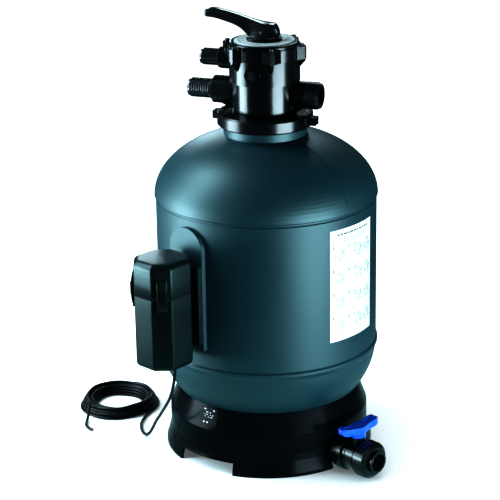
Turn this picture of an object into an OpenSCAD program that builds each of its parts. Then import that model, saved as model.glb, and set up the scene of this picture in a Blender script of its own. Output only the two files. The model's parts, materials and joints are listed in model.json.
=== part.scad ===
// Free-standing sand filter tank with a top-mounted six-way valve, a drain valve,
// a control box on the tank wall and a coiled supply cord on the floor.
// Origin: on the floor under the tank axis. +Z up, hose ports along X, gauge plug towards -Y.
// Directions around the axis are angles from -Y, positive towards +X.

/* [Tank] */
// Outside diameter of the straight tank wall
tank_d = 500; // [496:1:504]
// Wall thickness of the tank
wall_t = 5; // [4:0.5:6]
// Height of the sand surface
sand_z = 470; // [400:10:520]
// Number of slotted laterals around the hub
lateral_count = 8; // [6:2:10]

/* [Valve] */
// Distance from the valve axis to the lever tip
lever_len = 139; // [132:1:146]
// Outer radius of the hose tail ribs
tail_r = 19; // [18:0.5:20]
// Ribs on the return hose tail
return_ribs = 9; // [6:1:10]
// Ribs on the pump hose tail
pump_ribs = 8; // [5:1:9]

/* [Drain] */
// Length of the butterfly handle
drain_handle_len = 113; // [100:1:114]
// Gripping ribs on each union nut
nut_ribs = 28; // [16:2:32]

/* [Control box] */
// Height of the seam between the box and its hood
seam_z = 450; // [440:5:455]
// Top of the hood
hood_top_z = 531; // [525:1:540]

/* [Cord] */
// Cord diameter
cord_d = 7; // [6:0.5:8]

/* [Hidden] */
$fn = 96;
tank_r = tank_d / 2;
bowl_z = 253;
bowl_h = 196;
floor_z = 82;
shoulder_z = 600;
dome_h = 151;
dome_r = tank_r + 3;
neck_r = 94;
neck_bore_r = 88;
flange_r = 103;
flange_z = 763;
seat_z = 775;
flange_top = seat_z + 12;
clamp_bolt_x = 114;
clamp_r = 107.5;

valve_low_r = 72;
valve_top_r = 79;
step_z = 861;
deck_z = 858;
deck_top_z = 864;
gasket_t = 3;
chamber_r = 73;
split_z = 930;
lid_z = 950;
lid_rim_r = 77.5;
hub_disc_r = 40;
lug_bolt_r = 87;
lug_angles = [for (i = [0:5]) 30 + 60 * i];
pump_z = 905;
low_port_z = 832;
stem_r = 8;
pin_z = 971;
pin_r = 3;
running = 0.06;
gap = 0.3;

drain_phi = 63;
drain_z = 43;
drain_mid = 290;
pipe_r = 20;
pipe_bore = 16;
ball_r = 24;
nut_r = 41;
valve_thread_r = 32;

box_phi = -24;
box_mid = 330;
box_half_w = 58;
box_half_d = 60;
box_corner = 61.5;
box_wall = 3;
box_z = 285;
pad_face = 258;
box_back = box_mid - box_half_d;
latch_pivot_z = seam_z - 22;

coil_x = -406;
coil_y = 51;
coil_r = 77;
coil_w = 46;
coil_h = 33;
cord_r = cord_d / 2;
// hanging run of the cord, from the gland to the coil
cord_route = [
    [-105, -317, 296], [-105, -317, 282], [-108, -314, 255], [-119, -300, 222],
    [-135, -278, 190], [-155, -251, 160], [-176, -224, 131], [-196, -197, 104],
    [-216, -170, 78], [-236, -142, 48], [-252, -124, 24], [-268, -109, 9],
    [-285, -90, 4], [-299, -68, 4], [-309, -44, 4], [-315, -20, 5], [-320, 0, 8]
];
// free end of the cord in front of the coil
tail_route = [
    [-446, -2, 12], [-444, -24, 7], [-441, -46, 4], [-438, -67, 4],
    [-434, -84, 4], [-427, -98, 4], [-417, -108, 4], [-405, -114, 4]
];

black = [0.03, 0.035, 0.035];
tank_grey = [0.16, 0.22, 0.23];
rubber = [0.05, 0.05, 0.05];
steel = [0.6, 0.6, 0.62];
blue = [0.03, 0.3, 0.9];
pale = [0.85, 0.86, 0.84];

// ---- shared shapes ----

// points of a quarter-ellipse profile between two angles
function arc(r, z0, h, a0, a1, n) =
    [for (i = [0:n]) let (a = a0 + (a1 - a0) * i / n) [r * cos(a), z0 + h * sin(a)]];

// tank outside: bowl, ridge, straight wall, bead, dome and neck flange
function tank_outside() = concat(
    [[0, floor_z]],
    arc(tank_r, bowl_z, bowl_h, asin((floor_z - bowl_z) / bowl_h), -4, 18),
    [[tank_r + 3.5, bowl_z - 4], [tank_r + 3.5, bowl_z + 2], [tank_r, bowl_z + 6]],
    [[tank_r, shoulder_z - 7], [tank_r - 2, shoulder_z - 4], [tank_r - 2, shoulder_z - 1]],
    arc(dome_r, shoulder_z, dome_h, 1, acos(neck_r / dome_r), 20),
    [[neck_r, flange_z], [flange_r, flange_z], [flange_r, seat_z]]
);

function tank_inside() = concat(
    [[neck_bore_r, seat_z]],
    arc(dome_r - wall_t, shoulder_z, dome_h - wall_t, acos(neck_bore_r / (dome_r - wall_t)), 1, 20),
    [[tank_r - wall_t, shoulder_z - 12], [tank_r - wall_t, bowl_z + 6]],
    arc(tank_r - wall_t, bowl_z, bowl_h - wall_t, -1,
        asin((floor_z + wall_t - bowl_z) / (bowl_h - wall_t)), 18),
    [[0, floor_z + wall_t]]
);

// upright cylinder between two heights
module post(r, z0, z1) {
    translate([0, 0, z0]) cylinder(h = z1 - z0, r = r);
}

// puts children on a horizontal axis that leaves the tank axis at angle phi and height z
module port(phi, z) {
    rotate([0, 0, phi]) translate([0, 0, z]) rotate([90, 0, 0]) children();
}

// flat plate in the radial plane at angle phi, drawn as points of radius and height
module radial_plate(phi, t, pts) {
    rotate([0, 0, phi - 90]) rotate([90, 0, 0]) linear_extrude(t, center = true) polygon(pts);
}

// ring sector between two radii and two heights
module sector(phi, half, r0, r1, z0, z1) {
    rotate([0, 0, phi - 90 - half]) rotate_extrude(angle = 2 * half)
        translate([r0, z0]) square([r1 - r0, z1 - z0]);
}

module o_ring(r, t) {
    rotate_extrude() translate([r, 0]) circle(r = t, $fn = 24);
}

// tube along the local z axis
module pipe(r, bore, z0, z1) {
    difference() {
        post(r, z0, z1);
        post(bore, z0 - 1, z1 + 1);
    }
}

// curve through round points
function blend4(a, b, c, d, t) =
    0.5 * (2 * b + (c - a) * t + (2 * a - 5 * b + 4 * c - d) * t * t
    + (3 * b - a - 3 * c + d) * t * t * t);
function curve(p, n) = concat(
    [for (i = [0:len(p) - 2]) for (j = [0:n - 1])
        blend4(p[max(i - 1, 0)], p[i], p[i + 1], p[min(i + 2, len(p) - 1)], j / n)],
    [p[len(p) - 1]]
);

// round tube swept along a path; side is a direction the path never runs along
module sweep(path, r, sides, side) {
    n = len(path);
    points = [for (i = [0:n - 1])
        let (d = path[min(i + 1, n - 1)] - path[max(i - 1, 0)],
             t = d / norm(d),
             c = cross(t, side),
             u = c / norm(c),
             v = cross(t, u))
        for (k = [0:sides - 1])
            path[i] + r * (u * cos(360 * k / sides) + v * sin(360 * k / sides))];
    walls = [for (i = [0:n - 2]) for (k = [0:sides - 1])
        let (m = (k + 1) % sides)
        [i * sides + k, (i + 1) * sides + k, (i + 1) * sides + m, i * sides + m]];
    first = [for (k = [0:sides - 1]) k];
    last = [for (k = [0:sides - 1]) n * sides - 1 - k];
    polyhedron(points, concat(walls, [first, last]));
}

// ---- tank ----

module tank_shell() {
    color(tank_grey) difference() {
        union() {
            rotate_extrude($fn = 180) polygon(concat(tank_outside(), tank_inside()));
            bracket_pad();
        }
        post(pipe_r, floor_z - 1, floor_z + wall_t + 1);
        translate([0, 0, seat_z - 5]) pipe(98, 93, 0, 6);
        bracket_holes(2.5);
    }
}

// flat pad moulded on the wall for the control box, with a round top
module bracket_pad() {
    rotate([0, 0, box_phi]) translate([0, 3 - tank_r, 0]) rotate([90, 0, 0])
        linear_extrude(pad_face + 3 - tank_r) union() {
            translate([-49, 302]) square([98, 227]);
            translate([0, 529]) circle(r = 49);
        }
}

// four screw positions on the pad
module bracket_holes(r) {
    for (x = [-36, 36], z = [334, 484])
        rotate([0, 0, box_phi]) translate([x, 0, z]) rotate([90, 0, 0])
            translate([0, 0, pad_face - 11]) cylinder(h = box_back + 12 - pad_face, r = r, $fn = 24);
}

module base_stand() {
    profile = [
        [240, 0], [240, 8], [236, 21], [232, 36], [229.5, 50], [229, 96], [227, 101],
        [211, 144], [209, 149], [188, 149], [188, 128], [206, 117], [223, 93], [223.5, 50],
        [226, 37], [234, 10], [234, 0]
    ];
    color(black) difference() {
        union() {
            rotate_extrude($fn = 180) polygon(profile);
            pipe(150, 145, 0, 110);
            for (i = [0:7])
                radial_plate(drain_phi + 22.5 + 45 * i, 5,
                    [[148, 48], [225, 48], [225, 92], [207, 118], [148, 118]]);
        }
        rotate_extrude($fn = 180) polygon(concat(tank_outside(), [[0, seat_z]]));
        for (a = [-19.5, 160.5, 250.5])
            rotate([0, 0, a]) translate([0, 0, -1]) linear_extrude(29)
                polygon([[-56, -170], [-100, -300], [100, -300], [56, -170]]);
        port(drain_phi, drain_z) post(29, 130, 160);
        port(drain_phi, 0) translate([0, 0, 175]) linear_extrude(85) {
            translate([0, drain_z]) circle(r = 29);
            translate([-28, -1]) square([56, drain_z]);
        }
    }
}

module instruction_label() {
    color(pale) sector(69, 16.5, tank_r, tank_r + 0.6, 313, 572);
}

// small blank plate on the sloping shoulder of the base
module rating_plate() {
    color(pale) rotate([0, 0, -115]) rotate_extrude(angle = 12, $fn = 180)
        polygon([[225.14, 106], [212.12, 141], [212.68, 141.2], [225.7, 106.2]]);
}

module sand_bed() {
    color([0.75, 0.68, 0.5]) difference() {
        intersection() {
            rotate_extrude($fn = 180) polygon(concat(tank_inside(), [[0, seat_z]]));
            post(tank_r, 0, sand_z);
        }
        post(22, 120, sand_z + 1);
        post(38, floor_z, 152);
        for (i = [0:lateral_count - 1])
            port(360 / lateral_count * i, 130) post(9, 30, 174);
    }
}

module standpipe() {
    color(black) pipe(22, 18, 120, 770);
}

module lateral_hub() {
    color(black) difference() {
        union() {
            post(38, 110, 146);
            post(28, 146, 152);
        }
        post(22, 120, 153);
        post(16, 112, 121);
        for (i = [0:lateral_count - 1])
            port(360 / lateral_count * i, 130) post(7, 14, 39);
    }
}

module laterals() {
    color(black) for (i = [0:lateral_count - 1])
        port(360 / lateral_count * i, 130) difference() {
            union() {
                post(7, 30, 40);
                post(9, 38, 174);
            }
            post(5, 29, 170);
            for (j = [0:5])
                translate([-10, -10, 56 + 18 * j]) cube([20, 7, 1.2]);
        }
}

module top_diffuser() {
    color(black) difference() {
        union() {
            pipe(74, 70, 705, seat_z - 4);
            pipe(86, 70, seat_z - 4, seat_z);
            pipe(74, 24, 702, 705);
        }
        for (i = [0:15])
            port(22.5 * i, 735) translate([0, 0, 72]) cube([4, 46, 10], center = true);
    }
}

// ---- neck clamp ----

module clamp_half(turn) {
    difference() {
        union() {
            rotate([0, 0, turn + 181]) rotate_extrude(angle = 178, $fn = 180) polygon([
                [95, flange_z - 3], [103, flange_z - 3], [clamp_r, flange_z + 1],
                [clamp_r, flange_top - 1], [104, flange_top + 3], [95, flange_top + 3],
                [95, flange_top], [flange_r, flange_top], [flange_r, flange_z], [95, flange_z]
            ]);
            rotate([0, 0, turn]) for (x = [-1, 1])
                translate([x * 111.5 - 10, -12, flange_z + 3]) cube([20, 10, 18]);
        }
        rotate([0, 0, turn]) for (x = [-1, 1])
            translate([x * clamp_bolt_x, 0, seat_z]) rotate([90, 0, 0]) post(3.4, 0, 13);
        post(flange_r, flange_z, flange_top);
    }
}

module clamp_half_front() {
    color(black) clamp_half(0);
}

module clamp_half_rear() {
    color(black) clamp_half(180);
}

module clamp_bolts() {
    color(steel) for (x = [-1, 1])
        translate([x * clamp_bolt_x, 0, seat_z]) rotate([90, 0, 0]) {
            post(3.35, -20, 12);
            translate([0, 0, 12]) cylinder(h = 5, r = 6.3, $fn = 6);
        }
}

module clamp_nuts() {
    color(steel) for (x = [-1, 1])
        translate([x * clamp_bolt_x, 0, seat_z]) rotate([90, 0, 0]) difference() {
            translate([0, 0, -17.5]) cylinder(h = 5.5, r = 6.3, $fn = 6);
            post(3.4, -18, -11);
        }
}

module neck_o_ring() {
    color(rubber) translate([0, 0, seat_z - 2.5]) o_ring(95.5, 2.5);
}

// ---- six-way valve ----

module valve_body() {
    color(black) difference() {
        union() {
            post(flange_r, seat_z, flange_top);
            post(valve_low_r, flange_top - 1, step_z);
            post(valve_top_r, step_z, split_z);
            post(82, 915, split_z);
            post(27, 740, flange_top);
            for (a = lug_angles) {
                lug(a, 915, split_z);
                radial_plate(a, 6, [[77, 890], [77, 916], [95, 916], [95, 910]]);
            }
            port(-90, pump_z) post(24.5, 60, 99);
            port(-90, low_port_z) post(31, 60, 118);
            port(90, low_port_z) post(30, 60, 98);
            port(90, low_port_z) post(25, 98, 112);
            port(0, 888) post(18, 60, 84);
            radial_plate(-90, 8, [[70, 789], [70, 815], [112, 815], [112, 804]]);
            radial_plate(90, 8, [[70, 789], [70, 815], [94, 815], [94, 804]]);
        }
        post(chamber_r, deck_top_z, split_z + 1);
        for (a = [-90, 90]) {
            sector(a, 32, 31, 67, 812, deck_z);
            sector(a, 32, 31, 67, seat_z - 1, 808);
        }
        for (a = [0, 180]) sector(a, 54, 31, 67, seat_z - 1, deck_z);
        for (a = [0:90:270]) sector(a, 20, 35, 62, deck_z - 1, deck_top_z + 1);
        post(18, 739, deck_top_z + 1);
        post(22, 739, 770);
        port(-90, pump_z) post(14, 60, 100);
        port(-90, pump_z) post(21, 81, 100);
        port(-90, low_port_z) post(16, 50, 119);
        port(-90, low_port_z) post(24, 92, 119);
        port(90, low_port_z) post(16, 50, 113);
        port(0, 888) post(6, 60, 85);
        for (a = lug_angles) rotate([0, 0, a]) translate([0, -lug_bolt_r, 0]) post(3, 917, 931);
        translate([0, 0, split_z - 4]) pipe(80, 76, 0, 5);
        port(90, low_port_z) translate([0, 0, 108]) pipe(22.5, 18.5, 0, 5);
    }
}

// one clamping lug at angle a between two heights
module lug(a, z0, z1) {
    rotate([0, 0, a]) translate([0, -lug_bolt_r, z0]) linear_extrude(z1 - z0)
        polygon([[-21, 16], [-21, 3.5], [-5, -9], [5, -9], [21, 3.5], [21, 16]]);
}

module valve_lid() {
    color(black) difference() {
        union() {
            post(82, split_z, 941);
            post(lid_rim_r, 941, lid_z - 4);
            post(lid_rim_r - 4, 941, lid_z);
            translate([0, 0, lid_z - 4]) o_ring(lid_rim_r - 4, 4);
            post(hub_disc_r, lid_z, 955);
            for (a = lug_angles) lug(a, split_z, 943);
        }
        post(66, split_z - 1, 942);
        post(stem_r + running, 941, 956);
        translate([0, 0, 944]) post(12.1, 0, 4);
        for (a = lug_angles) rotate([0, 0, a]) translate([0, -lug_bolt_r, 0]) post(3, 929, 944);
    }
}

module position_plate() {
    color(pale) difference() {
        pipe(67, hub_disc_r, lid_z, lid_z + 1.5);
        for (i = [0:5])
            rotate([0, 0, 60 * i]) translate([0, -61, lid_z + 0.8]) cylinder(h = 2, r = 2, $fn = 24);
    }
}

module lid_screws() {
    color(steel) for (a = lug_angles)
        rotate([0, 0, a]) translate([0, -lug_bolt_r, 0]) difference() {
            union() {
                post(3, 917, 943);
                post(5.5, 943, 948);
            }
            translate([0, 0, 945.5]) cylinder(h = 3, r = 3, $fn = 6);
        }
}

module lid_o_ring() {
    color(rubber) translate([0, 0, split_z - 2]) o_ring(78, 2);
}

module spider_gasket() {
    color(rubber) difference() {
        post(chamber_r, deck_top_z, deck_top_z + gasket_t);
        for (a = [0:90:270]) sector(a, 20, 35, 62, deck_z, split_z);
        post(18, deck_z, split_z);
    }
}

// diverter disc on the stem that the lever lifts and turns
module rotor() {
    base = deck_top_z + gasket_t + gap;
    color(black) difference() {
        union() {
            post(71, base, 879);
            post(12, 879, 882);
            post(stem_r, 879, 982);
        }
        sector(180, 20, 35, 62, base - 1, 880);
        sector(-45, 60, 24, 62, base - 1, base + 6);
        translate([0, 0, pin_z]) rotate([90, 0, 0]) cylinder(h = 20, r = pin_r, center = true);
    }
}

module rotor_spring() {
    turns = 6;
    steps = turns * 12;
    path = [for (i = [0:steps])
        [15 * cos(30 * i), 15 * sin(30 * i), 884.2 + (939.8 - 884.2) * i / steps]];
    color(steel) sweep(path, 1.8, 6, [0, 0, 1]);
}

module slip_washer() {
    color([0.4, 0.4, 0.42]) pipe(29, stem_r + running, 955 + gap, 955 + gap + 3);
}

module stem_o_ring() {
    color(rubber) translate([0, 0, 946]) o_ring(10.1, 2);
}

// lever with a round hub, a long arm rising to the tip and scooped flanks
module lever_handle() {
    base = 958.6;
    tip = -lever_len;
    side_view = curve([
        [35.5, 963], [35.5, 971], [31.5, 979], [25, 987.5], [14, 989.5], [4, 989.5],
        [-11, 992.3], [-29, 997], [-47, 1002.3], [-67, 1007.8], [-90, 1012.6], [-112, 1016.5],
        [-126, 1016.2], [tip + 5, 1013.8], [tip + 1, 1005], [tip, 999], [tip + 3, 996.2],
        [-124, 996], [-106, 993.8], [-88, 989.4], [-70, 984.8], [-55, 979], [-44, 972.5],
        [-34, 965.5], [-28, 961]
    ], 4);
    plan_view = curve([
        [tip, -6], [tip + 6, -9.5], [-110, -11], [-85, -12], [-64, -13.5], [-46, -18],
        [-30, -26], [-14, -33], [4, -35], [24, -30], [35, -13], [35, 13], [24, 30], [4, 35],
        [-14, 33], [-30, 26], [-46, 18], [-64, 13.5], [-85, 12], [-110, 11], [tip + 6, 9.5],
        [tip, 6]
    ], 4);
    color(black) difference() {
        union() {
            intersection() {
                rotate([90, 0, 0]) linear_extrude(90, center = true) polygon(side_view);
                translate([0, 0, base]) linear_extrude(80) polygon(plan_view);
                union() {
                    translate([0, 0, base]) cylinder(h = 33, r1 = 37, r2 = 24);
                    translate([-160, -13, 900]) cube([170, 26, 130]);
                    translate([-75, 0, base]) cylinder(h = 60, r = 24);
                    translate([-45, 0, base]) cylinder(h = 26, r = 26);
                }
            }
            post(27, base, 968);
        }
        for (s = [-1, 1])
            translate([-52, s * 27, 986]) rotate([0, -24, s * -14]) rotate([0, 90, 0])
                cylinder(h = 84, r = 15, center = true);
        translate([-11.5, -8.4, base - 1]) cube([23, 16.8, 986 - base + 1]);
        translate([0, 0, pin_z]) rotate([90, 0, 0]) cylinder(h = 80, r = pin_r + running, center = true);
        translate([tip + 9, 0, 1005]) rotate([90, 0, 0]) cylinder(h = 40, r = 2.2, center = true);
    }
}

module lever_pin() {
    color(steel) translate([0, 0, pin_z]) rotate([90, 0, 0]) cylinder(h = 50, r = pin_r, center = true);
}

module gauge_plug() {
    color(black) port(0, 888) difference() {
        union() {
            post(6, 72, 84);
            post(11, 84, 88);
            translate([0, 0, 88]) cylinder(h = 6, r = 7.5, $fn = 6);
        }
        post(1.5, 91, 95);
    }
}

// ribbed tail for a hose, along the local z axis
module hose_tail(z0, z1, ribs, bore, r) {
    pitch = (z1 - z0 - 4) / ribs;
    rotate_extrude() polygon(concat(
        [[bore, z0], [r - 1.5, z0]],
        [for (i = [0:ribs - 1]) each [
            [r - 1.5, z0 + pitch * i + 1], [r, z0 + pitch * i + 1.5],
            [r, z0 + pitch * i + 3], [r - 1.5, z0 + pitch * (i + 1)]
        ]],
        [[r - 2.5, z1], [bore, z1]]
    ));
}

module pump_hose_tail() {
    color(black) difference() {
        port(-90, pump_z) {
            pipe(21, 14, 84, 101);
            pipe(23.5, 14, 101, 104);
            hose_tail(104, 148, pump_ribs, 14, tail_r);
        }
        rotate([0, 0, lug_angles[4]]) translate([0, -lug_bolt_r, 0]) post(3.6, 915, 930);
    }
}

module return_hose_tail() {
    color(black) port(-90, low_port_z) {
        pipe(24, 14.5, 95, 118);
        pipe(26, 14.5, 118, 121);
        pipe(23, 14.5, 121, 125);
        hose_tail(125, 178.5, return_ribs, 14.5, tail_r + 3);
    }
}

module tail_o_rings() {
    color(rubber) {
        port(-90, pump_z) pipe(21, 15, 81, 84);
        port(-90, low_port_z) pipe(24, 17, 92, 95);
    }
}

module waste_union_nut() {
    color(black) port(90, low_port_z) difference() {
        union() {
            rotate_extrude() polygon([
                [20, 98.4], [28.5, 98.4], [29.5, 100], [29.5, 126], [27.5, 131], [20, 131]
            ]);
            for (i = [0:11])
                rotate([0, 0, 30 * i + 15]) translate([28.5, -2, 100]) cube([2, 4, 25]);
        }
        post(25 + gap, 94, 117.4);
        post(21.5 + gap, 114, 132);
    }
}

module waste_union_end() {
    color(black) port(90, low_port_z) difference() {
        union() {
            post(24.6, 112, 117);
            post(21.5, 117, 133);
        }
        post(16, 111, 134);
        post(19, 115, 134);
    }
}

module waste_o_ring() {
    color(rubber) port(90, low_port_z) translate([0, 0, 110]) o_ring(20.5, 2);
}

// ---- drain ----

module drain_bulkhead() {
    color(black) difference() {
        union() {
            post(pipe_r, 66, 99);
            post(34, 73, 79);
        }
        post(pipe_bore, 65, 100);
    }
}

module bulkhead_gasket() {
    color(rubber) pipe(32, pipe_r, 79, floor_z);
}

module bulkhead_nut() {
    color(black) difference() {
        translate([0, 0, floor_z + wall_t]) cylinder(h = 10, r = 32, $fn = 6);
        post(pipe_r, floor_z, 100);
    }
}

// elbow from the tank floor to the horizontal drain pipe
module drain_elbow() {
    color(black) difference() {
        union() {
            post(27, 17, 73);
            port(drain_phi, drain_z) post(25, 0, 62);
        }
        post(17, 24, 74);
        post(pipe_r, 66, 74);
        port(drain_phi, drain_z) {
            post(pipe_bore, 0, 63);
            post(pipe_r, 32, 63);
        }
    }
}

module drain_pipe() {
    color(black) port(drain_phi, drain_z) pipe(pipe_r, pipe_bore, 32, 232);
}

module drain_end_inner() {
    color(black) port(drain_phi, drain_z) difference() {
        union() {
            post(25, 208, 249);
            post(30, 249, 255);
        }
        post(pipe_bore, 207, 256);
        post(pipe_r, 207, 232);
    }
}

module drain_end_outer() {
    color(black) port(drain_phi, drain_z) difference() {
        union() {
            post(30, 325, 331);
            post(25, 331, 352);
        }
        post(pipe_bore, 324, 353);
        post(20, 333, 353);
    }
}

// union nut seen from its open thread end, along the local z axis
module union_nut() {
    difference() {
        union() {
            rotate_extrude() polygon([
                [20, 0], [nut_r - 2, 0], [nut_r, 2], [nut_r, 27], [33, 34], [20, 34]
            ]);
            for (i = [0:nut_ribs - 1])
                rotate([0, 0, 360 / nut_ribs * i]) translate([nut_r - 1, -1.3, 2]) cube([2.5, 2.6, 22]);
        }
        post(valve_thread_r + gap, -1, 22.3);
        post(25 + gap, 20, 35);
    }
}

module drain_nut_outer() {
    color(black) port(drain_phi, drain_z) translate([0, 0, 309]) union_nut();
}

module drain_nut_inner() {
    color(black) port(drain_phi, drain_z) translate([0, 0, 271]) mirror([0, 0, 1]) union_nut();
}

module drain_valve_body() {
    color(black) port(drain_phi, drain_z) difference() {
        union() {
            post(valve_thread_r, 255, 325);
            post(36, 273, 307);
            translate([0, 0, drain_mid]) rotate([-90, 0, 0]) post(17, 20, 46);
            for (z = [278, 302]) translate([0, 0, z - 1.5]) post(37.5, 0, 3);
        }
        post(24.5, 254, 326);
        translate([0, 0, drain_mid]) rotate([-90, 0, 0]) {
            post(6 + running, 20, 47);
        }
        for (z = [254, 322]) translate([0, 0, z]) pipe(29.5, 25.5, 0, 4);
    }
}

module drain_o_rings() {
    color(rubber) port(drain_phi, drain_z) for (z = [256.5, 323.5])
        translate([0, 0, z]) o_ring(27.5, 1.5);
}

module ball_seats() {
    color([0.9, 0.9, 0.88]) port(drain_phi, drain_z) for (s = [-1, 1])
        difference() {
            translate([0, 0, drain_mid + s * 25]) pipe(24.5, pipe_bore, -10, 10);
            translate([0, 0, drain_mid]) sphere(r = ball_r + gap);
        }
}

// drilled ball, its bore across the pipe while the valve is closed
module drain_ball() {
    color([0.3, 0.3, 0.32]) port(drain_phi, drain_z) translate([0, 0, drain_mid]) difference() {
        sphere(r = ball_r);
        rotate([0, 90, 0]) cylinder(h = 60, r = pipe_bore, center = true);
        translate([-5.7, ball_r - 4, -2.9]) cube([11.4, 5, 5.8]);
    }
}

// butterfly handle with its skirt and the stem that turns the ball
module drain_handle() {
    half = drain_handle_len / 2;
    color(blue) rotate([0, 0, drain_phi]) translate([0, -drain_mid, 0]) difference() {
        union() {
            post(6, drain_z + ball_r + gap, 92);
            translate([-5.4, -2.6, drain_z + ball_r - 3.8]) cube([10.8, 5.2, 5]);
            post(17.5, 89.5, 104);
            intersection() {
                linear_extrude(200) polygon(curve([
                    [-half, -7], [-half + 12, -13], [-24, -12], [0, -17], [24, -12],
                    [half - 12, -13], [half, -7], [half, 7], [half - 12, 13], [24, 12],
                    [0, 17], [-24, 12], [-half + 12, 13], [-half, 7], [-half, -7]
                ], 4));
                rotate([90, 0, 0]) linear_extrude(60, center = true) polygon(curve([
                    [-half - 1, 112], [-half + 6, 106], [-22, 101], [0, 100], [22, 101],
                    [half - 6, 106], [half + 1, 112], [half + 1, 118], [half - 6, 122],
                    [22, 116], [0, 115], [-22, 116], [-half + 6, 122], [-half - 1, 118],
                    [-half - 1, 112]
                ], 4));
            }
        }
        for (s = [-1, 1]) translate([s * 30, 0, 122]) rotate([0, s * -10, 0])
            cube([26, 12, 11], center = true);
    }
}

// ---- control box ----

// eight-sided outline, drawn smaller by inset on every side
module box_outline(inset) {
    intersection() {
        square([2 * (box_half_w - inset), 2 * (box_half_d - inset)], center = true);
        rotate(45) square(2 * (box_corner - inset), center = true);
    }
}

// puts children on the box axis, with -Y pointing away from the tank
module on_box() {
    rotate([0, 0, box_phi]) translate([0, -box_mid, 0]) children();
}

function apothem(i) = i % 2 == 1 ? box_corner : (i % 4 == 0 ? box_half_w : box_half_d);

// bevel around the outline at height z, cutting c deep
module rim_cut(z, c) {
    for (i = [0:7])
        rotate([0, 0, 45 * i]) translate([apothem(i), 0, z]) rotate([0, 45, 0])
            cube([c * sqrt(2), 120, c * sqrt(2)], center = true);
}

module wall_bracket() {
    color(black) difference() {
        rotate([0, 0, box_phi]) translate([-48, -box_back, 320]) cube([96, box_back - pad_face, 179]);
        for (x = [-44, 24])
            rotate([0, 0, box_phi]) translate([x, -box_back - 1, 356]) cube([20, 10, 23]);
        for (x = [-44, 28])
            rotate([0, 0, box_phi]) translate([x, -box_back - 1, 400]) cube([16, 10, 60]);
        bracket_holes(2.5);
    }
}

module bracket_screws() {
    color(steel) for (x = [-36, 36], z = [334, 484])
        rotate([0, 0, box_phi]) translate([x, 0, z]) rotate([90, 0, 0]) {
            post(2.5, pad_face - 10, box_back, $fn = 24);
            post(5, box_back, box_back + 3);
        }
}

module control_box() {
    top = seam_z - 1;
    color(black) difference() {
        union() {
            on_box() difference() {
                translate([0, 0, box_z]) linear_extrude(top - box_z) box_outline(0);
                translate([0, 0, box_z + box_wall]) linear_extrude(top) box_outline(12);
                translate([0, 0, box_z + 12]) linear_extrude(top) box_outline(box_wall);
                rim_cut(box_z, 9);
            }
            for (a = [-45, 45]) on_box() rotate([0, 0, a]) latch_ears();
        }
        on_box() translate([33, -2, 0]) post(6.5, box_z - 1, box_z + 5);
        on_box() translate([0, 0, top - 1.5]) linear_extrude(5) difference() {
            box_outline(0.8);
            box_outline(2.3);
        }
    }
}

// two ears for one latch, on the corner face of the box
module latch_ears() {
    for (x = [-15, 11.5])
        difference() {
            translate([x, -box_corner - 4.5, latch_pivot_z - 5]) cube([3.5, 5.5, 10]);
            translate([x - 1, -box_corner - 2.5, latch_pivot_z]) rotate([0, 90, 0])
                cylinder(h = 6, r = 1.6 + running, $fn = 24);
        }
}

// curved over-centre latch that spans the seam
module latch() {
    depth = box_corner + 0.8;
    difference() {
        union() {
            translate([-11, -depth, latch_pivot_z]) rotate([90, 0, 90]) linear_extrude(22)
                polygon(curve([
                    [0, 4], [-2.8, -1], [-5.2, 4], [-6.8, 18], [-7.6, 32], [-6.6, 48], [-4, 64],
                    [-1.2, 72], [0, 71], [0, 56], [0, 38], [0, 20], [0, 4]
                ], 3));
            translate([-15.5, -box_corner - 2.5, latch_pivot_z]) rotate([0, 90, 0])
                cylinder(h = 31, r = 1.6, $fn = 24);
        }
        for (x = [-4.5, 2.5])
            translate([x, -depth - 8.6, latch_pivot_z + 26]) cube([2, 3, 10]);
    }
}

module latch_front() {
    color(black) on_box() rotate([0, 0, 45]) latch();
}

module latch_left() {
    color(black) on_box() rotate([0, 0, -45]) latch();
}

module control_box_hood() {
    color(black) on_box() difference() {
        translate([0, 0, seam_z + 0.6]) linear_extrude(hood_top_z - seam_z - 0.6) box_outline(0);
        translate([0, 0, seam_z - 1]) linear_extrude(hood_top_z - seam_z - 11)
            box_outline(box_wall);
        translate([0, 0, hood_top_z - 16]) linear_extrude(13) box_outline(12);
        rim_cut(hood_top_z, 9);
    }
}

module hood_seal() {
    color(rubber) on_box() translate([0, 0, seam_z - 2.5]) linear_extrude(2.6) difference() {
        box_outline(0.8);
        box_outline(2.3);
    }
}

module circuit_board() {
    color([0.05, 0.35, 0.15]) on_box() {
        translate([-22, 44, 312]) cube([44, 1.6, 124]);
        for (z = [330, 352, 374, 396]) translate([-14, 40.5, z]) cube([12, 3.5, 14]);
        for (x = [-18, 14], z = [318, 426]) translate([x, 45.6, z]) cube([4, 11.4, 4]);
    }
}

module transformer() {
    color([0.5, 0.35, 0.2]) on_box() {
        translate([-30, -30, box_z + box_wall]) cube([44, 44, 34]);
        translate([-22, -34, box_z + box_wall + 7]) cube([28, 52, 20]);
    }
}

module cable_gland() {
    color(black) on_box() translate([33, -2, 0]) difference() {
        union() {
            post(6.5, box_z - 1, box_z + 9);
            post(9, box_z - 4, box_z);
            translate([0, 0, box_z + box_wall]) cylinder(h = 5, r = 9.5, $fn = 6);
        }
        post(cord_r, box_z - 5, box_z + 10);
    }
}

// ---- cord ----

module supply_cord() {
    color(rubber) sweep(curve(cord_route, 2), cord_r, 8, [0.8, 0.6, 0]);
}

module cord_coil() {
    inside = coil_r - coil_w / 2;
    outside = coil_r + coil_w / 2;
    color(rubber) translate([coil_x, coil_y, 0]) rotate_extrude() polygon([
        [inside, 0], [outside, 0], [outside, 9], [outside - 8, 24], [outside - 14, coil_h],
        [inside + 19, coil_h], [inside + 8, 20], [inside, 9]
    ]);
}

module cord_tail() {
    color(rubber) sweep(curve(tail_route, 2), cord_r, 8, [0, 0, 1]);
}

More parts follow.
